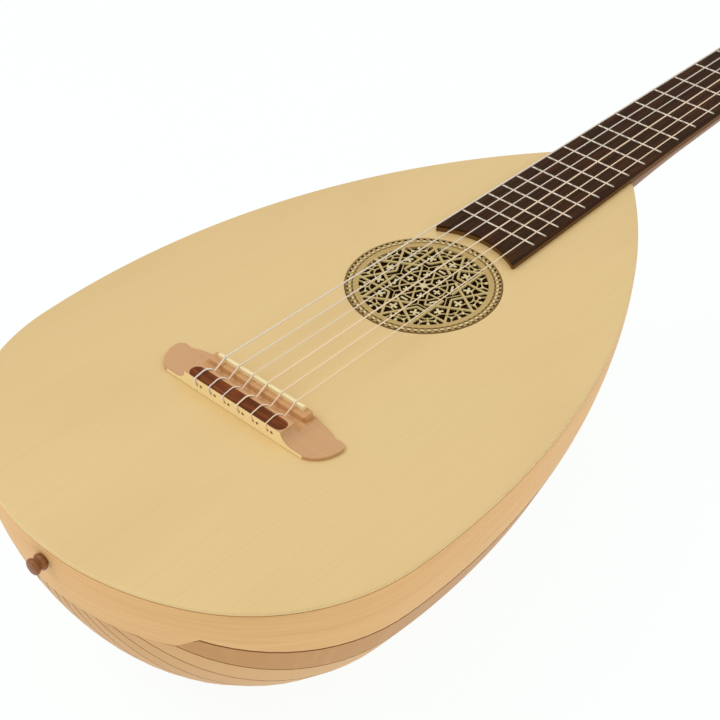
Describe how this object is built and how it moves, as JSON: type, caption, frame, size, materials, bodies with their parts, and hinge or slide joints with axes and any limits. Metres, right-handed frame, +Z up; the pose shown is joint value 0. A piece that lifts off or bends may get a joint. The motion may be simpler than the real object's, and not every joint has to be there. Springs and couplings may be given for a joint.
{
  "type": "lute guitar",
  "caption": "Lute-shaped guitar: pear-shaped spruce top with a pierced rosette, round bowl of wooden ribs, fretted neck and slotted head with turning worm tuners.",
  "frame": {"origin": "on the floor under the bowl's lowest line, in the middle of the whole length from the end button to the head's tip, on the middle line of the neck", "axes": "+X towards the treble strings, +Y up the neck towards the head, +Z up out of the soundboard"},
  "size_m": [0.3094, 1.0074, 0.1665],
  "materials": {
    "spruce": "satin varnish over straight-grained pale spruce",
    "bar_spruce": "raw spruce",
    "maple": "satin varnish over peach-brown maple",
    "dark_maple": "satin varnish over a darker strip",
    "block_wood": "raw wood",
    "rosette_wood": "carved, with burnt edges",
    "bridge_wood": "satin pinkish-brown pearwood",
    "rosewood": "oiled dark rosewood; the frets on it are nickel silver",
    "bone": "polished bone",
    "neck_wood": "satin varnish",
    "walnut": "turned and polished",
    "wound_string": "fine silver-plated winding",
    "plain_string": "clear nylon",
    "brass_plate": "polished",
    "steel": "turned",
    "roller": "ivory-coloured sleeve on a steel gear",
    "knob": "polished"
  },
  "bodies": {
    "instrument": {"soundboard": "spruce", "rosette": "rosette_wood", "bridge": "bridge_wood", "tie_block_inlay": "rosewood", "saddle": "bone", "nut": "bone", "fingerboard": "rosewood", "neck": "neck_wood", "headstock": "neck_wood", "neck_block": "block_wood", "tail_block": "block_wood", "end_button": "walnut", "clasp": "maple", "edge_rib_bass": "maple", "edge_rib_treble": "maple", "rib_01": "dark_maple", "rib_02": "maple", "rib_03": "maple", "rib_04": "maple", "rib_05": "maple", "rib_06": "maple", "rib_07": "maple", "rib_08": "maple", "rib_09": "maple", "rib_10": "maple", "rib_11": "maple", "rib_12": "maple", "rib_13": "maple", "rib_14": "maple", "rib_15": "dark_maple", "harmonic_bar_1": "bar_spruce", "harmonic_bar_2": "bar_spruce", "harmonic_bar_3": "bar_spruce", "harmonic_bar_4": "bar_spruce", "string_1": "plain_string", "string_2": "plain_string", "string_3": "plain_string", "string_4": "wound_string", "string_5": "wound_string", "string_6": "wound_string", "tuner_plate_treble": "brass_plate", "tuner_plate_bass": "brass_plate"},
    "roller_treble_1": {"roller_treble_1": "roller"},
    "roller_treble_2": {"roller_treble_2": "roller"},
    "roller_treble_3": {"roller_treble_3": "roller"},
    "roller_bass_1": {"roller_bass_1": "roller"},
    "roller_bass_2": {"roller_bass_2": "roller"},
    "roller_bass_3": {"roller_bass_3": "roller"},
    "tuner_treble_1": {"worm_treble_1": "steel", "knob_treble_1": "knob"},
    "tuner_treble_2": {"worm_treble_2": "steel", "knob_treble_2": "knob"},
    "tuner_treble_3": {"worm_treble_3": "steel", "knob_treble_3": "knob"},
    "tuner_bass_1": {"worm_bass_1": "steel", "knob_bass_1": "knob"},
    "tuner_bass_2": {"worm_bass_2": "steel", "knob_bass_2": "knob"},
    "tuner_bass_3": {"worm_bass_3": "steel", "knob_bass_3": "knob"}
  },
  "joints": [
    {"name": "turn_knob_treble_1", "type": "hinge", "parent": "instrument", "child": "tuner_treble_1", "pos_m": [0.0358, 0.37744, 0.13281], "axis": [0, 0.225, 0.9744], "continuous": true},
    {"name": "turn_knob_treble_2", "type": "hinge", "parent": "instrument", "child": "tuner_treble_2", "pos_m": [0.0358, 0.41154, 0.12494], "axis": [0, 0.225, 0.9744], "continuous": true},
    {"name": "turn_knob_treble_3", "type": "hinge", "parent": "instrument", "child": "tuner_treble_3", "pos_m": [0.0358, 0.44565, 0.11706], "axis": [0, 0.225, 0.9744], "continuous": true},
    {"name": "turn_knob_bass_1", "type": "hinge", "parent": "instrument", "child": "tuner_bass_1", "pos_m": [-0.0358, 0.37744, 0.13281], "axis": [0, 0.225, 0.9744], "continuous": true},
    {"name": "turn_knob_bass_2", "type": "hinge", "parent": "instrument", "child": "tuner_bass_2", "pos_m": [-0.0358, 0.41154, 0.12494], "axis": [0, 0.225, 0.9744], "continuous": true},
    {"name": "turn_knob_bass_3", "type": "hinge", "parent": "instrument", "child": "tuner_bass_3", "pos_m": [-0.0358, 0.44565, 0.11706], "axis": [0, 0.225, 0.9744], "continuous": true},
    {"name": "turn_roller_treble_1", "type": "hinge", "parent": "instrument", "child": "roller_treble_1", "pos_m": [0, 0.36999, 0.13453], "axis": [1, 0, 0], "continuous": true},
    {"name": "turn_roller_treble_2", "type": "hinge", "parent": "instrument", "child": "roller_treble_2", "pos_m": [0, 0.40409, 0.12666], "axis": [1, 0, 0], "continuous": true},
    {"name": "turn_roller_treble_3", "type": "hinge", "parent": "instrument", "child": "roller_treble_3", "pos_m": [0, 0.43819, 0.11879], "axis": [1, 0, 0], "continuous": true},
    {"name": "turn_roller_bass_1", "type": "hinge", "parent": "instrument", "child": "roller_bass_1", "pos_m": [0, 0.36999, 0.13453], "axis": [1, 0, 0], "continuous": true},
    {"name": "turn_roller_bass_2", "type": "hinge", "parent": "instrument", "child": "roller_bass_2", "pos_m": [0, 0.40409, 0.12666], "axis": [1, 0, 0], "continuous": true},
    {"name": "turn_roller_bass_3", "type": "hinge", "parent": "instrument", "child": "roller_bass_3", "pos_m": [0, 0.43819, 0.11879], "axis": [1, 0, 0], "continuous": true}
  ],
  "couplings": [
    {"joint": "turn_roller_treble_1", "follows": "turn_knob_treble_1", "ratio": -0.071429},
    {"joint": "turn_roller_treble_2", "follows": "turn_knob_treble_2", "ratio": -0.071429},
    {"joint": "turn_roller_treble_3", "follows": "turn_knob_treble_3", "ratio": -0.071429},
    {"joint": "turn_roller_bass_1", "follows": "turn_knob_bass_1", "ratio": -0.071429},
    {"joint": "turn_roller_bass_2", "follows": "turn_knob_bass_2", "ratio": -0.071429},
    {"joint": "turn_roller_bass_3", "follows": "turn_knob_bass_3", "ratio": -0.071429}
  ]
}
